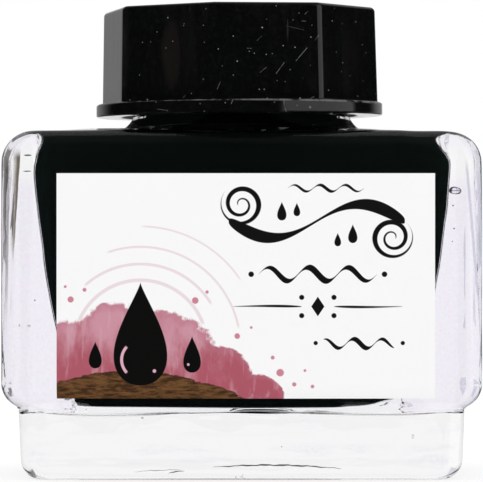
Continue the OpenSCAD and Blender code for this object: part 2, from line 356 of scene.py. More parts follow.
def build_glass():
    R = LOOP
    rings, tags = [], []

    def add(r, tag):
        rings.append(r)
        tags.append(tag)

    # hollow under the base, bearing rim, foot
    hw, hd = HW - PL_IN - PL_FOOT - 3.0, HD - PL_IND - PL_FOOT - 3.0
    for k, d, z in ((0.3, 0.15, .975), (0.6, 0.25, .98), (0.83, 0.42, .99), (0.85, 0.6, 1.0), (0.857, 0.67, .955), (0.866, 0.85, .80),
                    (0.88, 1.2, .765), (0.91, 3.0, .57), (0.94, 5.0, .33), (0.97, 6.8, .115), (0.985, 7.5, .04), (1.0, 7.9, .008), (1.012, 8.15, 0.0)):
        add(R.ring(hw * k, hw * k, d, min(2.6, d * 0.9), z), "base")
    add(R.ring(hw + 1.6, hw + 1.6, hd + 2.4, 2.2, 0.0), "base")
    for a in np.radians(np.linspace(0, 90, 12)):
        l = PL_FOOT * (1 - math.sin(a))
        add(R.ring(HW - PL_IN - l, HW - PL_IN - l, HD - PL_IND - 0.4 * l, PL_RC - 0.3 * l, PL_FOOT * (1 - math.cos(a))), "plinth")
    # plinth wall, leaning out to the waist
    a0 = math.radians(22.0)
    l0, d0, w_z = FOOT_R * (1 - math.sin(a0)), FOOT_RD * (1 - math.sin(a0)), FOOT_Z + FOOT_R * (1 - math.cos(a0))

    def out(z):
        return PL_LEAN * (z - PL_FOOT) / (w_z - PL_FOOT)

    for z in np.linspace(2.4, w_z - 0.45, 9):
        add(R.ring(HW - PL_IN + out(z), HW - PL_IN + out(z), HD - PL_IND + out(z), PL_RC, z), "plinth")
    # narrow fillet in the waist, then the round underside of the body
    for dl, dz in ((0.0, -0.26), (0.012, -0.16), (0.045, -0.085), (0.12, -0.03)):
        add(R.ring(HW - PL_IN + out(w_z) + dl, HW - PL_IN + out(w_z) + dl, HD - PL_IND + out(w_z) + dl, PL_RC, w_z + dz), "waist")
    for a in np.radians(np.linspace(29.0, 90, 16)):
        k = 1 - math.sin(a)
        add(R.ring(HW - FOOT_R * k, HW - FOOT_R * k, HD - FOOT_RD * k, RC + 0.05 * k, FOOT_Z + FOOT_R * (1 - math.cos(a)), 0.2), "body")
    for z in np.linspace(9.9, 29.5, 26):
        add(R.ring(HW, HW, HD, RC, z, 0.2), "body")
    # shoulder
    for a in np.radians(np.linspace(90, 0, 16)):
        k = 1 - math.sin(a)
        add(R.ring(HW - SH_R * k, HW - SH_R * k, HD - SH_RF * k, RC - 0.3 * k, SH_Z - SH_R * (1 - math.cos(a)), 0.2), "shoulder")
    flat = rings[-1]
    foot = R.oval(COLLAR_R + 2.1, min(COLLAR_R + 2.1, 11.9), SH_Z)
    for w in (0.12, 0.3, 0.5, 0.7, 0.88):
        add(flat * (1 - w) + foot * w, "shoulder")
    # filleted collar, threaded neck, rim
    for dr, dz in ((1.75, 0.0), (1.4, 0.05), (1.08, 0.14), (0.84, 0.26), (0.64, 0.4), (0.46, 0.56), (0.3, 0.74), (0.16, 0.92), (0.06, 1.08)):
        add(R.oval(COLLAR_R + dr, COLLAR_R + dr, SH_Z + dz), "neck")
    for r, z in ((COLLAR_R, COLLAR_Z - 0.34), (COLLAR_R - 0.06, COLLAR_Z - 0.28), (COLLAR_R - 0.2, COLLAR_Z - 0.19), (NECK_R + 0.1, COLLAR_Z - 0.04), (NECK_R, COLLAR_Z + 0.06)):
        add(R.oval(r, r, z), "neck")
    for z in np.arange(34.95, 41.95, 0.1):
        h = thread_height(R.ang, z, THREAD_LOW, 0.98, 0.34)
        r = NECK_R + 0.97 * h
        add(np.column_stack([r * np.cos(R.ang), r * np.sin(R.ang), np.full(R.n, z)]), "neck")
    for a in np.radians(np.linspace(0, 90, 7)):
        r = NECK_R - 0.5 + 0.5 * math.cos(a)
        add(R.oval(r, r, RIM_Z - 0.5 + 0.5 * math.sin(a)), "neck")
    for a in np.radians(np.linspace(90, 180, 7)):
        r = BORE_R + 0.5 + 0.5 * math.cos(a)
        add(R.oval(r, r, RIM_Z - 0.5 + 0.5 * math.sin(a)), "bore")
    # bore, the round edge inside the shoulder, then the cavity
    for z in [41.2, 40.2, 39.2, 38.2, 37.2, 36.4, 35.8]:
        add(R.oval(BORE_R, BORE_R, z), "bore")
    first_ink = len(rings)
    for z in [INK_Z + 0.2, 34.6, 33.9, 33.2]:
        add(R.oval(BORE_R, BORE_R, z), "bore")
    for a in np.radians(np.linspace(190, 270, 9)):
        add(R.oval(BORE_R + 2.0 + 2.0 * math.cos(a), BORE_R + 0.3 + 0.3 * math.cos(a), CEIL_Z + 2.0 + 2.0 * math.sin(a)), "cavity")
    last = rings[-1]

    def level(z, l):
        wl, wr = cavity_half_widths(z)
        return R.ring(wl - l, wr - l, CAV_D - l, max(0.8, CAV_RC - 0.3 * l), z)

    roof = level(CEIL_Z, CEIL_R)
    for w in (0.25, 0.5, 0.75):
        add(last * (1 - w) + roof * w, "cavity")
    for a in np.radians(np.linspace(0, 90, 10)):
        add(level(CEIL_Z - CEIL_R * (1 - math.cos(a)), CEIL_R * (1 - math.sin(a))), "cavity")
    zs = list(np.linspace(29.6, 11.0, 28)) + [10.4, 10.0, 9.7, 9.5, 9.3, 9.1, 9.0, 8.92, 8.86, 8.8, 8.75, 8.7, 8.65, 8.61, 8.57, 8.53, 8.5, 8.48, 8.45]
    for z in zs:
        wl, wr = cavity_half_widths(z)
        u = max(0.0, FLOOR_R - (z - FLOOR_Z))
        back = FLOOR_R - math.sqrt(max(0.0, FLOOR_R ** 2 - u ** 2))
        add(R.ring(wl, wr, CAV_D - back, 0.3 + (CAV_RC - 0.3) * float(smooth(z, 8.95, 10.2)), z), "cavity")
    floor = rings[-1]
    c = np.array([floor[:, 0].mean(), 0, FLOOR_Z])
    for k in (0.8, 0.55, 0.3, 0.1):
        add((floor - c) * k + c - np.array([0, 0, 0.10 * (1 - k)]), "cavity")
    end = c - np.array([0, 0, 0.10])

    verts, faces = loft(rings, start=(0, 0, 0.97), end=end)
    tag = np.repeat(np.array(tags), R.n)
    tag = np.concatenate([tag, ["base", "cavity"]])
    ob = mesh_object("bottle_glass", verts, faces)
    p, n = coords_of(ob), normals_of(ob)

    # the shoulder runs a little lower towards the right, as pressed glass does
    m = np.isin(tag, ["shoulder", "body"])
    drop = 0.38 * smooth(p[:, 0], 9.5, 18.0) + 0.30 * smooth(-p[:, 0], 13.0, 18.5)
    drop = np.maximum(drop, 0.26 * smooth(np.abs(p[:, 1]), 8.5, 11.8)) * smooth(p[:, 2], 24.0, 31.5)
    p[m, 2] -= drop[m]
    # the waist sags a little towards both ends and its crease is softest left of the middle
    m = np.isin(tag, ["waist", "plinth", "body"])
    sag = (0.12 + 0.42 * (np.abs(p[:, 0] - 1.3) / 17.0) ** 1.5) * (1 - smooth(np.abs(p[:, 0]), 12.5, 20.5)) * smooth(p[:, 2], 3.5, 6.2) * (1 - smooth(p[:, 2], 6.66, 6.95))
    m2 = tag == "waist"
    soft = 0.22 + 0.6 * np.exp(-((p[:, 0] + 3.2) / 2.6) ** 2) + 0.35 * np.exp(-((p[:, 0] - 5.3) / 1.2) ** 2)
    p[m2, 2] = w_z + (p[m2, 2] - w_z) * soft[m2]
    p[m, 2] -= sag[m]
    # the hollow under the base is a shallow vault with a ridge, highest near the middle
    m = tag == "base"
    p[m, 2] *= (0.30 + 0.59 * np.exp(-((p[:, 0] - 2.5) / 8.5) ** 2))[m]
    m = tag == "cavity"
    p[m, 2] -= ((0.75 * smooth(p[:, 0], 15.3, 19.6) + 0.3 * smooth(-p[:, 0], 17.0, 19.7)) * smooth(p[:, 2], 28.0, 31.4))[m]
    # gentle unevenness: none under the label, on the bearing rim or on the thread
    amp = np.select([tag == "body", tag == "shoulder", tag == "plinth", tag == "waist", tag == "cavity"],
                    [0.035, 0.05, 0.04, 0.02, 0.09], 0.0)
    on_label = (np.abs(p[:, 0]) < 18.6) & (p[:, 1] < -13.2) & (p[:, 2] < 29.6) & (p[:, 2] > 7.4)
    amp = np.where(on_label & (tag != "cavity"), 0.0, amp)
    amp = np.where((np.abs(p[:, 0]) < 19.5) & (np.abs(p[:, 1]) > 9.5) & (p[:, 2] < 9.3) & (p[:, 2] > 6.0) & (tag != "cavity"), amp * 0.1, amp)
    amp *= np.where(tag == "plinth", smooth(p[:, 2], 0.2, 1.6), 1.0)
    amp *= np.where(tag == "cavity", smooth(30.9 - p[:, 2], 0.0, 2.5) * smooth(p[:, 2], 9.2, 12.0) * 0.92 + 0.08, 1.0)
    p += n * (amp * waves(p, 9.0, 11))[:, None]
    set_coords(ob, p)
    return ob, first_ink, tag


bottle, first_ink, bottle_tag = build_glass()


def add_bubbles(ob, bubbles):
    """Closed air pockets in the glass wall: shells that face into the air."""
    bm = bmesh.new()
    bm.from_mesh(ob.data)
    for (x, y, z), (rx, ry, rz) in bubbles:
        made = bmesh.ops.create_icosphere(bm, subdivisions=4 if rx > 0.2 else 3, radius=1.0)
        vs = made["verts"]
        for v in vs:
            wob = 1 + 0.06 * math.sin(3.1 * v.co.x + 1.7 * v.co.z + x)
            v.co = Vector(((x + v.co.x * rx * wob) * MM, (y + v.co.y * ry * wob) * MM, (z + v.co.z * rz * wob) * MM))
        fs = {f for v in vs for f in v.link_faces}
        bmesh.ops.reverse_faces(bm, faces=list(fs))
        for f in fs:
            f.smooth = True
    bm.to_mesh(ob.data)
    bm.free()


def add_air_lines(ob, lines):
    """Hair-thin drawn-out air lines low in the plinth: closed tubes along x that face into the air."""
    bm = bmesh.new()
    bm.from_mesh(ob.data)
    m = 8
    for x0, x1, xm, y, z, drop_, r in lines:
        rings = []
        for t in np.linspace(0.0, 1.0, 61)[1:-1]:
            x = x0 + (x1 - x0) * t
            k = ((x - xm) / (0.5 * (x1 - x0))) ** 2
            wob = 0.022 * math.sin(2.9 * x + y) + 0.014 * math.sin(7.3 * x + 1.0)
            w = r * math.sin(math.pi * t) ** 0.6 * (0.82 + 0.18 * math.sin(3.7 * x))
            rings.append([bm.verts.new(Vector((x * MM, (y + w * math.cos(a)) * MM, (z - drop_ * k + wob + w * math.sin(a)) * MM)))
                          for a in np.linspace(0.0, 2 * math.pi, m, endpoint=False)])
        fs = []
        for a, b in zip(rings[:-1], rings[1:]):
            fs += [bm.faces.new((a[j], b[j], b[(j + 1) % m], a[(j + 1) % m])) for j in range(m)]
        fs += [bm.faces.new(rings[0]), bm.faces.new(rings[-1][::-1])]
        bm.normal_update()
        mid, half = fs[29 * m], rings[29]
        centre = sum((v.co for v in half), Vector()) / m
        if (mid.calc_center_median() - centre).dot(mid.normal) > 0:
            bmesh.ops.reverse_faces(bm, faces=fs)
        for f in fs:
            f.smooth = True
    bm.to_mesh(ob.data)
    bm.free()


# --------------------------------------------------------------------------
# ink: the cavity's own surface, pushed a hair into the glass so that the two
# are in optical contact, with a meniscus in the neck
# --------------------------------------------------------------------------

def build_ink():
    n = LOOP.n
    p, nn = coords_of(bottle), normals_of(bottle)
    count = (len(p) - 2) // n
    body = p - nn * 0.03
    rings = [body[i * n:(i + 1) * n] for i in range(first_ink, count)]
    top = []
    for k, dz in ((0.0, -0.28), (0.25, -0.28), (0.5, -0.275), (0.7, -0.25), (0.85, -0.19), (0.94, -0.1)):
        if k > 0:
            top.append(LOOP.oval(BORE_R * k, BORE_R * k, INK_Z + 0.2 + dz))
    rings = top + rings
    verts, faces = loft(rings, start=(0, 0, INK_Z - 0.08), end=body[-1])
    return mesh_object("ink_fill", verts, faces)


ink = build_ink()

add_bubbles(bottle, [
    ((19.95, -11.6, 27.15), (0.62, 0.10, 0.36)),
    ((-19.95, -12.4, 30.35), (0.34, 0.08, 0.07)),
    ((-20.0, -12.4, 28.95), (0.36, 0.08, 0.06)),
    ((19.75, -11.9, 25.75), (0.085, 0.07, 0.085)),
    ((19.85, -11.9, 23.6), (0.085, 0.07, 0.085)),
    ((19.7, -11.7, 22.4), (0.06, 0.05, 0.06)),
    ((-19.3, -12.0, 16.9), (0.07, 0.06, 0.07)),
    ((-20.6, 6.0, 14.2), (0.16, 0.12, 0.13)),
    ((12.2, 11.6, 12.0), (0.12, 0.1, 0.14)),
    ((16.1, -10.2, 4.1), (0.12, 0.08, 0.2)),
    ((-9.3, -10.9, 5.85), (0.14, 0.08, 0.1)),
    ((3.8, -8.6, 3.1), (0.07, 0.06, 0.07)),
])
add_air_lines(bottle, [(-2.9, 9.6, 2.6, -10.8, 1.42, 0.26, 0.088), (-10.2, -5.4, -5.6, -10.9, 1.00, 0.05, 0.030), (-6.9, -5.3, -5.2, -10.7, 0.93, 0.06, 0.060)])


# --------------------------------------------------------------------------
# paper label
# --------------------------------------------------------------------------

def build_label():
    nx = 90
    zc = FOOT_Z + FOOT_R
    path = [(-HD, z, -1.0, 0.0) for z in np.linspace(LABEL_TOP, zc + 0.2, 56)]
    for a in np.radians(np.linspace(0, LABEL_WRAP, 10)):
        ny, nz = -math.cos(a) / FOOT_RD, -math.sin(a) / FOOT_R
        k = math.hypot(ny, nz)
        path.append((-HD + FOOT_RD * (1 - math.cos(a)), zc - FOOT_R * math.sin(a), ny / k, nz / k))
    xs = np.linspace(-LABEL_W / 2, LABEL_W / 2, nx) + LABEL_X
    verts, faces = [], []
    rows = len(path)
    for off in (LABEL_T, -0.02):
        for y, z, ny, nz in path:
            for x in xs:
                verts.append((x, y + ny * off, z + nz * off))
    f0, b0 = 0, rows * nx
    for i in range(rows - 1):
        for j in range(nx - 1):
            a = f0 + i * nx + j
            faces.append((a, a + nx, a + nx + 1, a + 1))
            a = b0 + i * nx + j
            faces.append((a, a + 1, a + nx + 1, a + nx))
    edge = [i * nx for i in range(rows)] + [(rows - 1) * nx + j for j in range(1, nx)]
    edge += [i * nx + nx - 1 for i in range(rows - 2, -1, -1)] + [j for j in range(nx - 2, 0, -1)]
    for a, b in zip(edge, edge[1:] + edge[:1]):
        faces.append((a, b0 + a, b0 + b, b))
    ob = mesh_object("paper_label", np.array(verts), faces)
    for poly in ob.data.polygons:
        poly.use_smooth = False
    return ob


label = build_label()


# --------------------------------------------------------------------------
# cap
# --------------------------------------------------------------------------

class OctLoop:
    """Points round an eight-sided outline with round corners."""

    def __init__(self, nc=9, nf=11):
        k, t = [], []
        for q in range(8):
            for i in range(nc):
                k.append((q, 0))
                t.append(-22.5 + 45 * i / (nc - 1))
            for i in range(nf):
                k.append((q, 1))
                t.append((i + 1) / (nf + 1))
        self.k, self.t, self.n = k, t, len(k)
        ref = self.ring(CAP_R - CAP_EDGE, CAP_EDGE, 0)
        self.ang = np.arctan2(ref[:, 1], ref[:, 0])

    def ring(self, rc, re, z):
        pts = []
        for (q, kind), t in zip(self.k, self.t):
            a = math.radians(35 + 45 * q)
            if kind == 0:
                b = a + math.radians(t)
                pts.append((rc * math.cos(a) + re * math.cos(b), rc * math.sin(a) + re * math.sin(b), z))
            else:
                b = a + math.radians(22.5)
                p0 = np.array([rc * math.cos(a) + re * math.cos(b), rc * math.sin(a) + re * math.sin(b)])
                a2 = a + math.radians(45)
                p1 = np.array([rc * math.cos(a2) + re * math.cos(b), rc * math.sin(a2) + re * math.sin(b)])
                p = p0 + (p1 - p0) * t
                pts.append((p[0], p[1], z))
        return np.array(pts)

    def circle(self, r, z):
        r = np.broadcast_to(r, (self.n,))
        return np.column_stack([r * np.cos(self.ang), r * np.sin(self.ang), np.full(self.n, float(z))])


def build_cap():
    L = OctLoop()
    rings = []
    rc_top, rc_foot = CAP_R - CAP_TAPER - CAP_EDGE, CAP_R - CAP_EDGE
    # top face, a hair crowned, then its rounded edge
    edge = L.ring(rc_top, CAP_EDGE - CAP_TOPR, CAP_TOP)
    for k in (0.06, 0.2, 0.4, 0.6, 0.8, 0.93, 0.985):
        r = edge * k
        r[:, 2] = CAP_TOP - 0.04 * k ** 4
        rings.append(r)
    for a in np.radians(np.linspace(0, 90, 10)):
        r = L.ring(rc_top, CAP_EDGE - CAP_TOPR * (1 - math.sin(a)), CAP_TOP - CAP_TOPR * (1 - math.cos(a)))
        r[:, 2] -= 0.04 * (1 - 0.5 * (1 - math.cos(a)))
        rings.append(r)
    z_foot = FL_Z + FL_T
    for w in np.linspace(0.06, 0.985, 16):
        z = (CAP_TOP - CAP_TOPR) * (1 - w) + (z_foot + 0.14) * w
        rings.append(L.ring(rc_top * (1 - w) + rc_foot * w, CAP_EDGE, z))
    # small fillet down to the flange, the flange's top, its round edge and its underside
    for a in np.radians([20, 45, 70]):
        g = 0.12 * (1 - math.cos(a))
        rings.append(L.ring(rc_foot + g, CAP_EDGE, z_foot + 0.12 * (1 - math.sin(a))))
    lip = L.circle(FL_R - 0.26, z_foot)
    rings.append(rings[-1] * 0.5 + lip * 0.5)
    rings[-1][:, 2] = z_foot + 0.002
    for a in np.radians(np.linspace(90, 0, 7)):
        rings.append(L.circle(FL_R - 0.26 + 0.26 * math.cos(a), z_foot - 0.26 + 0.26 * math.sin(a)))
    rings.append(L.circle(FL_R, FL_Z + 0.55))
    for a in np.radians(np.linspace(0, 90, 5)):
        rings.append(L.circle(FL_R - 0.16 + 0.16 * math.cos(a), FL_Z + 0.16 - 0.16 * math.sin(a)))
    rings.append(L.circle(12.6, FL_Z))
    rings.append(L.circle(CAP_BORE + 0.46, FL_Z + 0.01))
    # inside: lead-in, threaded skirt, bead that holds the wad, ceiling
    rings.append(L.circle(CAP_BORE + 0.36, FL_Z + 0.06))
    rings.append(L.circle(CAP_BORE + 0.05, FL_Z + 0.36))
    for z in np.arange(FL_Z + 0.45, 41.5, 0.11):
        h = thread_height(L.ang, z, THREAD_LOW - 1.3, 0.78, 0.3)
        rings.append(L.circle(CAP_BORE - 0.98 * h, z))
    for r, z in ((11.2, 41.6), (11.0, 41.85), (10.78, 42.05), (10.76, 42.13), (10.9, 42.28), (11.18, 42.44)):
        rings.append(L.circle(r, z))
    rings.append(L.circle(11.2, 43.4))
    rings.append(L.circle(11.05, 43.62))
    for r in (9.0, 6.0, 3.0, 1.0):
        rings.append(L.circle(r, 43.66))
    verts, faces = loft(rings, start=(0, 0, CAP_TOP), end=(0, 0, 43.66))
    # the cap sits a touch crooked on the glass: it leans to the left
    t = math.radians(-0.5)
    v = verts - np.array([0, 0, FL_Z])
    x = v[:, 0] * math.cos(t) + v[:, 2] * math.sin(t)
    z = -v[:, 0] * math.sin(t) + v[:, 2] * math.cos(t)
    verts = np.column_stack([x - 0.2, v[:, 1], z + FL_Z])
    return mesh_object("cap_moulding", verts, faces)


cap = build_cap()


def build_liner():
    n = 128
    ang = np.linspace(0, 2 * math.pi, n, endpoint=False)

    def circle(r, z):
        return np.column_stack([r * np.cos(ang), r * np.sin(ang), np.full(n, float(z))])

    lo, hi = RIM_Z + 0.02, RIM_Z + 1.0
    rings = [circle(r, hi) for r in (1.5, 4, 7, 9.5)]
    for a in np.radians(np.linspace(90, 0, 5)):
        rings.append(circle(10.8 + 0.15 * math.cos(a), hi - 0.15 + 0.15 * math.sin(a)))
    for a in np.radians(np.linspace(0, 90, 5)):
        rings.append(circle(10.8 + 0.15 * math.cos(a), lo - 0.04 + 0.15 - 0.15 * math.sin(a)))
    # ring pressed in by the bottle's rim
    for r, z in ((10.2, lo - 0.05), (9.8, lo - 0.04), (9.6, lo), (9.3, lo + 0.015), (8.1, lo + 0.015), (7.8, lo), (7.5, lo - 0.05), (6.5, lo - 0.07), (4, lo - 0.075), (1.5, lo - 0.075)):
        rings.append(circle(r, z))
    verts, faces = loft(rings, start=(0, 0, hi), end=(0, 0, lo - 0.075))
    return mesh_object("cap_wad", verts, faces)


wad = build_liner()


# --------------------------------------------------------------------------
# materials
# --------------------------------------------------------------------------

def mat_glass():
    m, b, out = new_material("clear_pressed_glass")
    co = object_coords()
    x, y, z = split(co)
    streak = tex_noise(mapping(co, scale=(1, 1, 0.25)), 260.0, 3.0, 0.55)
    body = mix_col(streak, (0.90, 0.885, 0.94), (0.935, 0.925, 0.955))
    # grain on the front; the other walls are fire-polished
    grain = tex_noise(co, 3300.0, 3.0, 0.75, out="Color")
    grain = mix_col(step(y, -0.0126, -0.0133), (0.5, 0.5, 0.5), grain)
    body = mix_col(0.30, body, grain)
    grain_f = tex_noise(co, 3300.0, 3.0, 0.75)
    gain = X.tree.nodes.new("ShaderNodeMix")
    gain.data_type, gain.blend_type, gain.clamp_result = "RGBA", "MULTIPLY", True
    gain.inputs["Factor"].default_value = 1.0
    link(body, gain.inputs[6])
    gain.inputs[7].default_value = (1.165, 1.145, 1.19, 1)
    body = gain.outputs[2]
    body = mix_col(step(z, 0.0268, 0.0296), body, (0.985, 0.985, 0.990))
    xm, ym, zm = x * 1000.0, y * 1000.0, z * 1000.0
    wob = tex_noise(mapping(co, scale=(1, 1, 1.6)), 700.0, 3.0, 0.6) - 0.5
    near = step(ym, -12.0, -12.6)
    # painted reflection: a brown band of the surroundings, as the left edge passes them on, painted into the glass
    # tint; right edge sharp, from x -20.55 at the shoulder to -21.3 low down
    t = (zm - 19.8) * (1 / 10.6)
    edge = xm - (t * 0.74 - 21.30) - wob * 0.12
    wide = step(t, 0.0, 0.3) * 0.32 + t * 0.36
    painted_band = step(edge, 0.03, -0.03) * step(edge + wide, -0.08, 0.16) * between(t, 0.0, 1.03, 0.05) * near
    shade = step(edge + wide, 0.0, 0.45)
    body = mix_col(painted_band, body, mix_col(shade, (0.50, 0.46, 0.41), (0.030, 0.022, 0.015)))
    # painted reflection: a grey band of the surroundings on the left corner itself, painted into the glass tint,
    # fading downwards
    edge = xm + 21.58 + (28.5 - zm) * 0.018 + wob * 0.05
    wide = step(zm, 20.2, 21.2) * step(zm, 22.9, 22.1)
    painted_band = step(edge, 0.03, -0.04) * step(xm + wide * 0.25, -22.06, -21.97) * step(zm, 30.8, 29.2) * step(zm, 12.5, 20.5) * near
    body = mix_col(painted_band, body, (0.27, 0.264, 0.253))
    # painted reflection: a lilac band of the surroundings on the right, painted into the glass tint, thinner and paler
    t = (zm - 17.0) * (1 / 12.6)
    edge = xm - (22.05 - t * 1.10) + wob * 0.14
    painted_band = step(fabs(edge), 0.20, 0.05) * between(t, 0.0, 1.0, 0.06) * near
    body = mix_col(painted_band * 0.8, body, (0.36, 0.37, 0.52))
    # seeds: painted shade on the bubbles, the dark that their refraction shows: the small bubbles' skins are painted
    # dark and the big one gets a painted dark outline
    skin = between(ym, -12.75, -10.0, 0.02) * step(fabs(xm), 21.5, 21.4) * step(zm, 10.0, 10.1)
    e = hyp((xm - 19.95) * (1 / 0.62), (zm - 27.15) * (1 / 0.36))
    line = fmax(step(e, 0.70, 0.86), step(fabs(zm - 27.15), 0.07, 0.03) * 0.6)
    body = mix_col(skin * fmax(line, step(e, 1.25, 1.4) * 0.7), body, (0.03, 0.03, 0.035))
    # the plinth is paler, with a few lilac wisps; its air lines get painted shade, painted dark for the dark that
    # their refraction shows
    wisp = tex_noise(mapping(co, rot=(0, 0.05, 0), scale=(0.22, 1, 1.25)), 620.0, 4.0, 0.62)
    wisp = step(wisp, 0.49, 0.64) * fmax(between(zm, 1.5, 3.4, 0.4), between(zm, 4.3, 5.6, 0.4) * 0.7) * step(ym, -10.9, -11.2)
    pale = mix_col(wisp * 0.8, (0.977, 0.975, 0.980), mix_col(step(grain_f, 0.35, 0.65), (0.83, 0.795, 0.885), (0.925, 0.91, 0.96)))
    hair = between(ym, -11.2, -10.3, 0.02) * between(zm, 0.55, 2.0, 0.02) * step(fabs(xm), 18.0, 17.9)
    pale = mix_col(hair, pale, (0.030, 0.030, 0.036))
    link(mix_col(step(z, 0.0060, 0.0078), pale, body), b.inputs["Base Color"])
    b.inputs["Transmission Weight"].default_value = 1.0
    b.inputs["IOR"].default_value = 1.5
    b.inputs["Roughness"].default_value = 0.0
    # faint flow marks left by the mould
    flow = tex_noise(mapping(co, scale=(1, 1, 0.35)), 420.0, 2.0, 0.5)
    fine = tex_noise(co, 1500.0, 2.0, 0.5)
    calm = 1.0 - between(zm, 6.6, 9.6, 0.3) * step(fabs(xm), 20.5, 19.5)
    link(bump((flow * 0.8 + fine * 0.015) * calm, 0.08, 0.0001), b.inputs["Normal"])
    return m


def mat_ink():
    m, b, out = new_material("black_ink")
    co = object_coords()
    x, y, z = split(co)
    cloud = tex_noise(co, 160.0, 3.0, 0.55)
    link(mix_col(cloud, (0.0058, 0.0100, 0.0085), (0.0080, 0.0132, 0.0118)), b.inputs["Base Color"])
    link(0.35 + cloud * 0.2, b.inputs["Roughness"])
    b.inputs["Specular IOR Level"].default_value = 0.0
    # gloss of the liquid: against the glass all round, against air on the open surface in the neck
    geo = X.tree.nodes.new("ShaderNodeNewGeometry")
    nx, ny, nz = split(geo.outputs["Normal"])
    top = step(z, (INK_Z - 0.5) * MM, (INK_Z - 0.4) * MM) * step(nz, 0.3, 0.4)
    fres = X.tree.nodes.new("ShaderNodeFresnel")
    under = step(nz, -0.7, -0.9) * step(z, 9.2 * MM, 9.05 * MM) * step(x, 9.4 * MM, 10.4 * MM)
    # the end walls are wetted less evenly and mirror a little more
    side = step(fabs(nx), 0.97, 0.995)
    # no glint low on the front, where the foot of the bottle bends the view
    low = step(ny, -0.6, -0.8) * step(z, 10.6 * MM, 10.0 * MM)
    link(0.90 + top * 0.43 - under * 0.14 + low * 0.098 - side * 0.075, fres.inputs["IOR"])
    gl = X.tree.nodes.new("ShaderNodeBsdfGlossy")
    gl.inputs["Roughness"].default_value = 0.03
    gl.inputs["Color"].default_value = (0.96, 0.96, 0.97, 1)
    mx = X.tree.nodes.new("ShaderNodeMixShader")
    link(fmax(top * X(fres.outputs[0]), step(X(fres.outputs[0]), 0.02, 0.75)), mx.inputs[0])
    link(b.outputs[0], mx.inputs[1])
    link(gl.outputs[0], mx.inputs[2])
    link(mx.outputs[0], out.inputs["Surface"])
    return m


def vec2(x, z):
    n = X.tree.nodes.new("ShaderNodeCombineXYZ")
    X.tree.links.new(x.s, n.inputs[0])
    X.tree.links.new(z.s, n.inputs[2])
    return n.outputs[0]


def vmath(kind, a, b=None, scale=None, out=0):
    n = X.tree.nodes.new("ShaderNodeVectorMath")
    n.operation = kind
    for i, v in enumerate((a, b)):
        if v is None:
            continue
        if isinstance(v, tuple):
            n.inputs[i].default_value = v
        else:
            X.tree.links.new(v, n.inputs[i])
    if scale is not None:
        X.tree.links.new(scale.s, n.inputs["Scale"])
    return n.outputs[out]


def at_px(px, py):
    """A mark's place on the front of the cap (mm), given as across and down from the upper left."""
    return ((px - 241.2) * 0.0933, 0.0, 23.0 + (235.0 - py) * 0.0933)


def dots(p, marks):
    out = None
    for px, py, r, v in marks:
        d = X(vmath("DISTANCE", p, at_px(px, py), out=1))
        k = step(d, r * 0.62 + 0.026, r * 0.1) * v
        out = k if out is None else fmax(out, k)
    return out


def strokes(p, marks):
    out = None
    for x0, y0, x1, y1, w, v in marks:
        a, b = at_px(x0, y0), at_px(x1, y1)
        ab = tuple(j - i for i, j in zip(a, b))
        t = op("MULTIPLY", X(vmath("DOT_PRODUCT", vmath("SUBTRACT", p, a), ab, out=1)), 1.0 / sum(c * c for c in ab), clamp=True)
        q = vmath("ADD", vmath("SCALE", ab, scale=t), a)
        k = step(X(vmath("DISTANCE", p, q, out=1)), w * 0.55 + 0.028, w * 0.1) * v
        out = k if out is None else fmax(out, k)
    return out


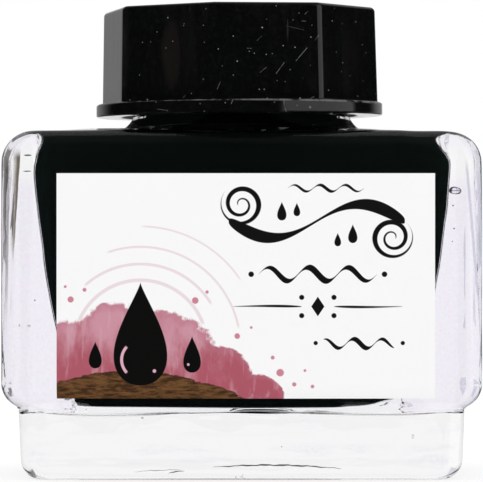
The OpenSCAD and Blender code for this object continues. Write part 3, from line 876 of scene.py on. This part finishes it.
def mat_cap():
    m, b, out = new_material("black_moulded_plastic")
    co = object_coords()
    x, y, z = split(co)
    xm, ym, zm = x * 1000.0, y * 1000.0, z * 1000.0
    p = vec2(xm, zm)
    front = step(ym, -1.0, -3.0)
    # dust: fine pale specks, sparse, of several sizes
    big = tex_voronoi(co, 620.0)
    pick = X(split_color(big.outputs["Color"])[0])
    speck = step(X(big.outputs["Distance"]), 0.10, 0.05) * step(pick, 0.84, 0.86)
    small = tex_voronoi(co, 1500.0)
    pick2 = X(split_color(small.outputs["Color"])[1])
    speck2 = step(X(small.outputs["Distance"]), 0.14, 0.07) * step(pick2, 0.84, 0.86)
    dust = fmax(speck * 0.7, speck2 * 0.4)
    # specks and scuffs from handling on the two facets in front
    marks = dots(p, (
        (167, 16, .07, .9), (156, 30, .06, .6), (141, 40, .06, .6), (172, 40, .06, .8), (165, 46.5, .06, .5), (138, 73, .07, .5),
        (128, 98, .07, .5), (146, 98, .08, 1.), (191, 93, .07, .6), (203, 25, .08, .4), (204, 42, .07, .4), (218, 49, .10, .6),
        (262, 27, .11, 1.), (233, 36, .09, .7), (237, 61, .09, .9), (249, 51, .07, .6), (254, 53, .07, .7), (266, 54, .08, .7),
        (272, 53, .06, .5), (283, 45, .08, .9), (295, 46.5, .08, .9), (299, 12, .07, .4), (293, 19, .06, .5), (312, 24, .06, .5),
        (311, 36, .08, .7), (290, 69, .08, .5), (285, 81, .06, .4), (277, 80, .06, .4), (259, 89, .09, .8), (264, 89, .12, .35),
        (233, 75, .08, .5), (222, 66, .06, .4), (333, 18.5, .08, .6), (358, 17, .08, .4), (365, 40, .07, .4), (344, 60, .07, .5),
        (329, 89, .08, .6), (360, 93, .08, .4), (267, 98, .09, .9), (300, 97.5, .09, 1.), (225, 103, .09, .5), (276, 5, .07, .6)))
    scuff = strokes(p, (
        (296, 60, 307, 47, .045, .75), (276, 73, 284, 62, .04, .7), (260, 72, 266, 67, .04, .5), (257, 40, 261, 36, .05, .4),
        (315, 39, 319, 34, .05, .5), (247, 48, 251, 48, .05, .6), (302, 20, 306, 20, .05, .5), (305, 13, 308, 10, .05, .5),
        (217, 89, 220, 82, .05, .5), (286, 25, 304, 29, .03, .25), (310, 98, 314, 96, .05, .6), (231, 104, 233, 99, .06, .6),
        (283.5, 98, 284, 105, .05, .7), (284, 105, 286.5, 114, .05, .7), (157, 108.5, 166, 110, .04, .45), (183, 97, 186, 93, .05, .5)))
    # short scratches of other directions all round
    scr = None
    for rot, sx, sd, thr in ((0.62, 60.0, 3.0, 0.75), (-0.35, 45.0, 9.0, 0.79), (1.15, 70.0, 17.0, 0.79)):
        v = mapping(co, loc=(sd, sd * 0.3, 0), rot=(0, rot, 0.3), scale=(1, 1, 0.055))
        n1 = tex_noise(v, 2600.0, 1.0, 0.4)
        v2 = mapping(co, loc=(sd * 2, 0, sd), rot=(0, rot, 0.3), scale=(1, 1, 0.6))
        gate = tex_noise(v2, 320.0, 1.0, 0.5)
        k = step(n1, thr, thr + 0.03) * step(gate, 0.55, 0.66)
        scr = k if scr is None else fmax(scr, k)
    scr = scr * (1.0 - front * 0.8)
    dust = fmax(dust * (1.0 - front * 0.55), marks * front)
    grit = tex_noise(co, 2400.0, 2.0, 0.6)
    scr = fmax(scr * 0.6, scuff * front * step(grit, 0.30, 0.56))
    # painted highlight: a light grey line along the top of the flange's round edge, broken up in patches
    highlight_break = tex_noise(co, 700.0, 3.0, 0.6)
    rad = hyp(xm + 0.2, ym)
    rim = between(zm, 35.56, 35.74, 0.05) * step(rad, 13.5, 13.62) * step(highlight_break, 0.34, 0.62)
    cloud = tex_noise(co, 220.0, 4.0, 0.6)
    hand = tex_noise(mapping(co, scale=(1, 1, 0.22)), 330.0, 3.0, 0.6)
    base = mix_col(cloud, (0.0010, 0.0012, 0.0014), (0.0024, 0.0027, 0.0028))
    smear = step(hand, 0.5, 0.68) * step(zm, 35.8, 37.0)
    base = mix_col(smear * 0.6, base, (0.0052, 0.0047, 0.0042))
    base = mix_col(step(grit, 0.45, 0.75) * 0.6, base, (0.0058, 0.0062, 0.0062))
    # a greasy thumb mark on the facet left of the middle
    thumb = X(vmath("DISTANCE", vec2(xm * 1.0, zm * 0.27), (-6.6, 0.0, 40.0 * 0.27), out=1)) + (hand - 0.5) * 1.6
    thumb = step(thumb, 1.15, 0.7) * front
    base = mix_col(thumb * 0.8, base, (0.0085, 0.0076, 0.0068))
    # painted reflection: the left facet is lightened in soft upright streaks, standing in for the grey it mirrors
    sheen_streak = tex_noise(mapping(co, scale=(1, 0.45, 0.06)), 1900.0, 3.0, 0.6)
    left_facet_sheen = step(xm, -10.4, -12.0) * step(zm, 35.9, 37.5) * step(sheen_streak * 0.7 + cloud * 0.3, 0.36, 0.66)
    base = mix_col(left_facet_sheen * 0.8, base, (0.021, 0.0205, 0.019))
    # the painted highlight along the flange's top edge
    base = mix_col(rim * 0.75, base, (0.16, 0.16, 0.16))
    base = mix_col(scr * 0.75, base, (0.20, 0.20, 0.20))
    base = mix_col(dust * 0.9, base, (0.42, 0.42, 0.40))
    link(base, b.inputs["Base Color"])
    streaky = tex_noise(mapping(co, scale=(1, 1, 0.06)), 1500.0, 3.0, 0.6)
    rough = 0.05 + cloud * 0.05 + smear * 0.05 + streaky * 0.06 + dust * 0.4 + scr * 0.25 + rim * 0.2
    link(rough, b.inputs["Roughness"])
    b.inputs["IOR"].default_value = 1.49
    peel = tex_noise(co, 900.0, 2.0, 0.5)
    link(bump(peel * 0.4 + streaky * 0.35 + dust * 0.6 - scr * 0.6, 0.25, 0.00002), b.inputs["Normal"])
    return m


def split_color(c):
    n = X.tree.nodes.new("ShaderNodeSeparateColor")
    X.tree.links.new(c, n.inputs[0])
    return n.outputs


def mat_wad():
    m, b, out = new_material("white_foam_wad")
    co = object_coords()
    cells = tex_voronoi(co, 3200.0)
    d = X(cells.outputs["Distance"])
    cloud = tex_noise(co, 300.0, 3.0, 0.5)
    base = mix_col(cloud, (0.82, 0.81, 0.77), (0.74, 0.73, 0.68))
    base = mix_col(step(d, 0.2, 0.75) * 0.35, base, (0.60, 0.59, 0.55))
    link(base, b.inputs["Base Color"])
    b.inputs["Roughness"].default_value = 0.85
    link(bump(d, 0.4, 0.00008), b.inputs["Normal"])
    return m


def between(x, a, b, e):
    return step(x, a - e, a + e) * step(x, b + e, b - e)


def inside(d, e=0.035):
    """1 where the signed distance d (mm) is negative."""
    return step(d, e, -e)


def either(*masks):
    out = masks[0]
    for m in masks[1:]:
        out = fmax(out, m)
    return out


def scroll(x, z, cx, cz, sx, r0, r1, turns_r, w0, w1):
    """A spiral curl about (cx, cz): pen line that thins towards its eye."""
    dx, dz = (x - cx) * sx, z - cz
    r = hyp(dx, dz)
    th = op("ARCTAN2", dz, dx)
    q = (r - r0) / turns_r - th * (1 / (2 * math.pi))
    d = fabs(op("FRACT", q + 0.5) - 0.5) * turns_r
    w = w0 + (w1 - w0) * step(r, r0, r1)
    return inside(d - w) * between(r, r0, r1, 0.05)


def wave(x, z, x0, x1, z0, amp, length, phase, w0, w1, taper=1.0):
    """A pen wave, thick on the falling strokes and drawn out to a point at both ends."""
    a = (x - x0) * (2 * math.pi / length) + phase
    t = (x - x0) * (1 / (x1 - x0))
    ends = op("POWER", fmax(t * (1 - t) * 4.0, 0.0), taper)
    zc = z0 + fsin(a) * amp
    w = (w0 + (w1 - w0) * (0.5 - 0.5 * fsin(a + 1.57))) * ends
    return inside(fabs(z - zc) - w) * between(x, x0, x1, 0.02)


def disc(x, z, cx, cz, r):
    return inside(hyp(x - cx, z - cz) - r)


def drop(x, z, cx, z0, h, w):
    t = (z - z0) * (1 / h)
    tc = op("MINIMUM", fmax(t, 0.0), 1.0)
    half = op("POWER", tc, 0.5) * op("POWER", 1.0 - tc, 1.25) * (w * 2.45)
    return inside(fabs(x - cx) - half) * between(t, 0.0, 1.0, 0.004)


def mat_label():
    m, b, out = new_material("printed_label_paper")
    co = object_coords()
    mx, my, mz = split(co)
    x, z = mx * 1000.0, mz * 1000.0
    fibre = tex_noise(mapping(co, scale=(1, 1, 2.2)), 2600.0, 4.0, 0.6)
    cloud = tex_noise(co, 260.0, 2.0, 0.5)
    col = mix_col(cloud * 0.5 + fibre * 0.5, (0.893, 0.893, 0.893), (0.922, 0.922, 0.922))

    n_edge = tex_noise(co, 430.0, 6.0, 0.62)
    n_wash = tex_noise(mapping(co, rot=(0, 0.5, 0), scale=(1, 1, 0.45)), 520.0, 5.0, 0.65)
    n_slow = tex_noise(co, 150.0, 2.0, 0.5)

    # pale rings spreading from the drop
    rx, rz = x + 9.4, z - 12.6
    rr = hyp(rx, rz)
    th = op("ARCTAN2", rz, rx)
    rings = None
    for r, w, a0, a1 in ((6.2, 0.16, 0.35, 2.75), (7.7, 0.13, 0.55, 2.3), (9.3, 0.10, 0.2, 1.9), (11.2, 0.08, 0.6, 1.55)):
        k = inside(fabs(rr - r) - w) * between(th, a0, a1, 0.03)
        rings = k if rings is None else fmax(rings, k)
    col = mix_col(rings * 0.9, col, (0.78, 0.66, 0.69))

    # crimson wash, lower left
    wash = None
    for cx, cz, r in ((-15.6, 10.2, 5.2), (-11.6, 12.0, 5.0), (-7.0, 10.6, 5.4), (-2.6, 8.8, 4.2), (1.4, 7.6, 2.7)):
        d = 1.0 - hyp(x - cx, z - cz) * (1 / r)
        wash = d if wash is None else fmax(wash, d)
    wash = wash + (n_edge - 0.5) * 0.62
    body = step(wash, 0.03, 0.10)
    deep = step(n_wash + (12.6 - z) * 0.075 + (n_slow - 0.5) * 0.7, 0.24, 0.74)
    rim = step(wash, 0.03, 0.08) * step(wash, 0.26, 0.10)
    tint = mix_col(deep, (0.56, 0.235, 0.305), (0.375, 0.038, 0.078))
    tint = mix_col(rim * 0.5, tint, (0.43, 0.10, 0.165))
    strokes_in = tex_noise(mapping(co, rot=(0, -0.9, 0), scale=(1, 1, 0.16)), 1500.0, 3.0, 0.6)
    tint = mix_col(step(strokes_in, 0.52, 0.66) * 0.35, tint, (0.64, 0.36, 0.42))
    col = mix_col(body * 0.94, col, tint)
    spots = None
    for cx, cz, r in ((3.6, 10.2, 0.34), (4.9, 9.1, 0.2), (2.9, 11.6, 0.17), (5.9, 10.4, 0.13), (-0.4, 13.6, 0.26), (0.9, 14.4, 0.14),
                      (-4.3, 16.9, 0.3), (-3.2, 17.7, 0.15), (-15.9, 17.0, 0.28), (-16.4, 18.2, 0.14), (-14.6, 17.9, 0.18), (6.6, 8.9, 0.16)):
        k = inside(hyp(x - cx, z - cz) + (n_edge - 0.5) * 0.18 - r, 0.05)
        spots = k if spots is None else fmax(spots, k)
    col = mix_col(spots * 0.85, col, (0.52, 0.10, 0.18))

    # brown dry-brush ground along the foot
    hump = (x + 10.2) * (1 / 9.6)
    bristle = tex_noise(mapping(co, rot=(0, 0.55, 0), scale=(0.34, 1, 1.5)), 2300.0, 4.0, 0.72)
    bristle2 = tex_noise(mapping(co, rot=(0, -0.35, 0), scale=(0.4, 1, 1.3)), 1700.0, 4.0, 0.7)
    edge = 10.35 - hump * hump * 2.1 + (n_edge - 0.5) * 1.1 + (bristle - 0.5) * 0.5
    depth = edge - z
    ground = step(depth, -0.03, 0.06) * step(bristle2 + step(depth, 0.0, 0.8) * 0.6, 0.34, 0.44)
    earth = mix_col(step(bristle, 0.36, 0.66), (0.050, 0.018, 0.005), (0.165, 0.074, 0.022))
    earth = mix_col(step(bristle2, 0.56, 0.72) * 0.6, earth, (0.19, 0.085, 0.030))
    earth = mix_col(step(n_wash, 0.60, 0.75) * 0.5, earth, (0.12, 0.075, 0.022))
    earth = mix_col(step(depth, 0.30, 0.02) * 0.6, earth, (0.05, 0.018, 0.010))
    col = mix_col(ground, col, earth)

    # one black drop standing in the wash, with two small ones
    black = either(drop(x, z, -9.4, 9.0, 9.6, 2.9), drop(x, z, -4.6, 10.2, 3.4, 0.95), drop(x, z, -13.6, 10.6, 2.5, 0.7))
    gx, gz = x + 9.4, z - 11.4
    gleam = inside(fabs(hyp(gx, gz) - 1.75) - 0.13) * between(op("ARCTAN2", gz, gx * -1.0), -0.75, 0.75, 0.05)
    gleam = either(gleam, disc(x, z, -8.1, 10.35, 0.16), disc(x, z, -4.95, 10.95, 0.12))
    col = mix_col(black, col, (0.004, 0.004, 0.0035))
    col = mix_col(gleam, col, (0.72, 0.40, 0.50))

    # pen flourishes, upper right
    pen = either(
        wave(x, z, -1.2, 15.2, 24.3, 1.55, 16.4, 3.1416, 0.12, 0.92, 0.30),
        scroll(x, z, -0.05, 25.85, -1.0, 0.28, 1.9, 0.90, 0.06, 0.27),
        scroll(x, z, 14.05, 22.75, 1.0, 0.28, 1.9, 0.90, 0.06, 0.27),
        wave(x, z, 4.3, 11.4, 27.35, 0.30, 2.37, 0.0, 0.04, 0.20, 0.4),
        drop(x, z, 3.75, 24.35, 1.75, 0.50), drop(x, z, 5.15, 24.75, 1.25, 0.36),
        drop(x, z, 10.35, 22.25, 1.75, 0.50), drop(x, z, 8.95, 21.95, 1.25, 0.36),
        wave(x, z, 1.6, 12.6, 19.35, 0.62, 3.67, 0.0, 0.06, 0.44, 0.4),
        disc(x, z, 0.9, 19.35, 0.26), disc(x, z, 13.3, 19.35, 0.26),
        wave(x, z, -0.8, 5.6, 16.35, 0.05, 12.4, 0.0, 0.06, 0.15, 0.5),
        wave(x, z, 8.6, 15.0, 16.35, 0.05, 12.4, 3.1416, 0.06, 0.15, 0.5),
        inside(fabs(x - 7.1) * 1.5 + fabs(z - 16.35) - 0.92),
        disc(x, z, 5.6, 17.2, 0.24), disc(x, z, 8.6, 17.2, 0.24), disc(x, z, 5.6, 15.5, 0.24), disc(x, z, 8.6, 15.5, 0.24),
        wave(x, z, 7.6, 14.2, 12.9, 0.42, 2.64, 1.2, 0.05, 0.33, 0.5),
        disc(x, z, 6.9, 12.95, 0.2), disc(x, z, 15.0, 12.95, 0.2))
    col = mix_col(pen, col, (0.006, 0.006, 0.006))
    link(col, b.inputs["Base Color"])
    printed = either(body * 0.5, pen, black, ground * 0.7)
    link(0.62 - printed * 0.16 + (fibre - 0.5) * 0.1, b.inputs["Roughness"])
    b.inputs["Specular IOR Level"].default_value = 0.15
    link(bump(fibre, 0.12, 0.00002), b.inputs["Normal"])
    return m


def mat_floor():
    m, b, out = new_material("white_paper_sweep")
    co = object_coords()
    g = tex_noise(co, 900.0, 3.0, 0.5)
    link(mix_col(g, (0.225, 0.225, 0.225), (0.235, 0.235, 0.235)), b.inputs["Base Color"])
    b.inputs["Emission Color"].default_value = (1, 1, 1, 1)
    b.inputs["Emission Strength"].default_value = 0.80
    b.inputs["Roughness"].default_value = 0.9
    b.inputs["Specular IOR Level"].default_value = 0.0
    return m


for ob, mat, body, node, slot in (
        (bottle, mat_glass(), "bottle", "glass_bottle", "clear_glass"),
        (ink, mat_ink(), "bottle", "ink", "black_ink"),
        (label, mat_label(), "bottle", "front_label", "label_paper"),
        (cap, mat_cap(), "cap", "screw_cap", "black_plastic"),
        (wad, mat_wad(), "cap_seal", "cap_liner", "liner_foam")):
    ob.data.materials.clear()
    ob.data.materials.append(mat)
    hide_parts(node)
    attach(ob, body)


# --------------------------------------------------------------------------
# studio: white sweep, soft surround, camera
# --------------------------------------------------------------------------

n = 96
ring_a = np.linspace(0, 2 * math.pi, n, endpoint=False)
floor_rings = [np.column_stack([r * np.cos(ring_a), r * np.sin(ring_a), np.zeros(n)]) for r in (100.0, 400.0, 2000.0, 20000.0)]
fv, ff = loft(floor_rings, start=(0, 0, 0))
floor = mesh_object("floor", fv, ff, fix_normals=False)
floor.data.flip_normals() if floor.data.polygons[0].normal.z < 0 else None
floor.data.materials.append(mat_floor())
floor.visible_glossy = False
floor.visible_transmission = False


def flag(name, pts, colour, soft=False):
    """A studio flag: tones the light that the glass passes on and is not seen itself."""
    ob = mesh_object(name, np.array(pts), [tuple(range(len(pts)))], fix_normals=False)
    m = bpy.data.materials.new(name)
    m.use_nodes = True
    t = m.node_tree
    t.nodes.clear()
    X.tree = t
    out = t.nodes.new("ShaderNodeOutputMaterial")
    e = t.nodes.new("ShaderNodeEmission")
    co = object_coords()
    grain = tex_noise(co, 300.0, 3.0, 0.6)
    tone = mix_col(step(grain, 0.3, 0.7), tuple(c * 0.8 for c in colour), tuple(c * 1.2 for c in colour))
    if soft:
        # feathered border, so that it never shows as a hard shape in the glass
        x, y, z = split(co)
        inside = step(z * 1000.0, 12.5, 20.0) * step(y * 1000.0, 21.5, 30.0) * step(y * 1000.0, 99.0, 84.0)
        tone = mix_col(inside, (0.98, 0.98, 0.98), tone)
    link(tone, e.inputs["Color"])
    link(e.outputs[0], out.inputs["Surface"])
    ob.data.materials.append(m)
    ob.visible_camera = ob.visible_glossy = ob.visible_diffuse = ob.visible_shadow = False
    return ob


flag("flag_left", [(-0.4, 21, 12), (-0.4, 100, 12), (-0.4, 100, 32.3), (-0.4, 76, 32.8), (-0.4, 66, 46), (-0.4, 21, 46)], (0.265, 0.26, 0.25), soft=True)
flag("flag_left_in", [(-31.5, 60, 20.5), (-25.2, 60, 20.5), (-25.2, 60, 31.4), (-31.5, 60, 31.4)], (0.30, 0.295, 0.28))
flag("flag_left_out", [(-48, 60, 14), (-38.5, 60, 14), (-38.5, 60, 31.4), (-48, 60, 31.4)], (0.33, 0.32, 0.30))
flag("flag_right", [(0.4, 21, 12), (0.4, 100, 12), (0.4, 100, 46), (0.4, 21, 46)], (0.74, 0.75, 0.80))


def build_world():
    w = bpy.data.worlds.new("studio")
    sc.world = w
    w.use_nodes = True
    t = w.node_tree
    t.nodes.clear()
    X.tree = t
    out = t.nodes.new("ShaderNodeOutputWorld")
    bg = t.nodes.new("ShaderNodeBackground")
    t.links.new(bg.outputs[0], out.inputs[0])
    tc = t.nodes.new("ShaderNodeTexCoord")
    dx, dy, dz = split(tc.outputs["Generated"])
    lp = t.nodes.new("ShaderNodeLightPath")
    az = op("ARCTAN2", dx, -dy) * (180 / math.pi)      # 0 towards the camera side, + to the right
    el = op("ARCSINE", dz) * (180 / math.pi)
    level = step(el, -34.0, -14.0)
    back_l = step(-az, 122.0, 148.0) * level * 0.39
    back_r = step(az, 126.0, 148.0) * level * 0.42
    soft_r = step(az, 33.0, 37.0) * step(az, 107.0, 102.0) * step(el, -30.0, -22.0) * step(el, 58.0, 46.0)
    over = step(el, 48.0, 66.0) * 0.06
    behind = step(fabs(az), 164.0, 172.0) * step(fabs(el), 16.0, 9.0) * 0.97
    glossy = fmax(fmax(fmax(back_l, back_r), behind), fmax(fmax(soft_r, over), 0.009))
    is_g = X(lp.outputs["Is Glossy Ray"])
    is_t = X(lp.outputs["Is Transmission Ray"])
    is_c = X(lp.outputs["Is Camera Ray"])
    comb = t.nodes.new("ShaderNodeCombineColor")
    for i in range(3):
        value = 1.05 + is_g * (glossy - 1.05)
        value = value + is_t * (0.98 - value)
        value = value + is_c * (1.0 - value)
        t.links.new(value.s, comb.inputs[i])
    t.links.new(comb.outputs[0], bg.inputs["Color"])
    bg.inputs["Strength"].default_value = 1.0


build_world()

cam_data = bpy.data.cameras.new("camera")
cam = bpy.data.objects.new("camera", cam_data)
sc.collection.objects.link(cam)
cam_data.sensor_width = 36.0
cam_data.lens = 3612.0 * 36.0 / 483.0
cam.location = (0.0, -0.350, 0.0230)
cam.rotation_euler = (math.radians(90.0 - math.degrees(math.atan(6.0 / 3612.0))), 0.0, 0.0)
cam_data.clip_start, cam_data.clip_end = 0.01, 100.0
sc.camera = cam

sc.view_settings.view_transform = "Standard"
sc.view_settings.look = "None"
sc.cycles.max_bounces = 24
sc.cycles.transmission_bounces = 20
sc.cycles.glossy_bounces = 12
sc.cycles.diffuse_bounces = 5
sc.cycles.use_denoising = True
